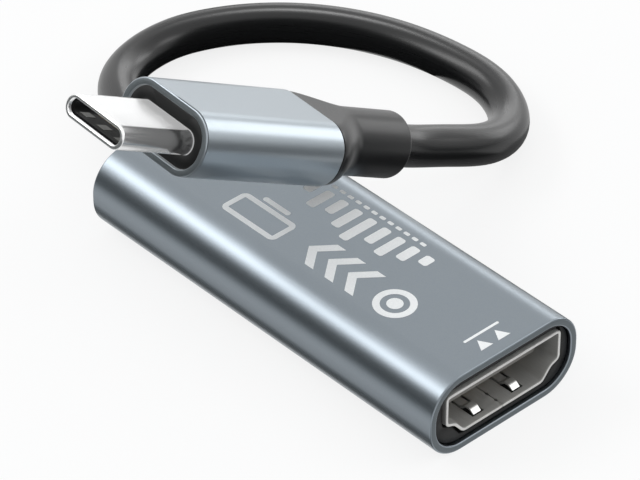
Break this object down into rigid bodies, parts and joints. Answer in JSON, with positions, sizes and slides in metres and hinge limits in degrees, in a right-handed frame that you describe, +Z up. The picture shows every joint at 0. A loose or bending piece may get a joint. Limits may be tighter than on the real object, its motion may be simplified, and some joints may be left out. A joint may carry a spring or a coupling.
{
  "type": "video capture box",
  "caption": "Flat aluminium video capture box with a recessed video socket at one end and a short captive cable, which loops back to a reversible plug in a matching sleeve.",
  "frame": {"origin": "on the resting surface, under the middle of the box", "axes": "+Z up, +Y along the box from the socket end to the cable end, +X to the right seen from the socket end"},
  "size_m": [0.0585, 0.0667, 0.0289],
  "materials": {
    "anodised_aluminium": "satin bead-blasted and anodised grey",
    "plug_aluminium": "satin bead-blasted and anodised grey",
    "black_plastic": "moulded with a fine spark texture",
    "black_rubber": "moulded matt",
    "cable_jacket": "extruded soft satin jacket",
    "nickel_sheet": "nickel-plated stamped sheet",
    "polished_steel": "drawn and polished",
    "gold_contacts": "gold-plated",
    "board": "solder mask on laminate",
    "chip_package": "moulded epoxy",
    "chip_metal": "plated lid",
    "ceramic_chips": "fired ceramic",
    "gap_pad": "soft filled silicone",
    "wire_insulation": "extruded",
    "inner_moulding": "low-pressure moulded"
  },
  "bodies": {
    "box": {"case_sleeve": "anodised_aluminium", "input_bezel": "black_plastic", "cable_cap": "black_plastic", "cable_gland": "black_rubber", "socket_shell": "nickel_sheet", "socket_insulator": "black_plastic", "socket_contacts_upper": "gold_contacts", "socket_contacts_lower": "gold_contacts", "main_board": "board", "capture_chip": "chip_package", "memory_chip": "chip_package", "voltage_regulator": "chip_package", "power_inductor": "ceramic_chips", "clock_crystal": "chip_metal", "line_protectors": "chip_package", "chip_capacitors": "ceramic_chips", "chip_resistors": "ceramic_chips", "thermal_pad": "gap_pad", "board_wires": "wire_insulation", "cable": "cable_jacket", "cable_ferrule": "chip_metal", "strain_relief": "black_rubber", "plug_sleeve": "plug_aluminium", "plug_face": "black_plastic", "plug_inner_mould": "inner_moulding", "plug_board": "board", "plug_wires": "wire_insulation", "plug_shell": "polished_steel", "plug_insulator": "black_plastic", "plug_contacts_upper": "gold_contacts", "plug_contacts_lower": "gold_contacts", "plug_ground_springs": "nickel_sheet", "plug_latch_plate": "nickel_sheet"},
    "latch_left": {"socket_latch_left": "nickel_sheet"},
    "latch_right": {"socket_latch_right": "nickel_sheet"}
  },
  "joints": [
    {"name": "latch_left_flex", "type": "hinge", "parent": "box", "child": "latch_left", "pos_m": [-0.0025, -0.0179, 0.00198], "axis": [1, 0, 0], "range_deg": [0, 4], "stiffness_Nm_per_rad": 0.1},
    {"name": "latch_right_flex", "type": "hinge", "parent": "box", "child": "latch_right", "pos_m": [0.0025, -0.0179, 0.00198], "axis": [1, 0, 0], "range_deg": [0, 4], "stiffness_Nm_per_rad": 0.1}
  ]
}
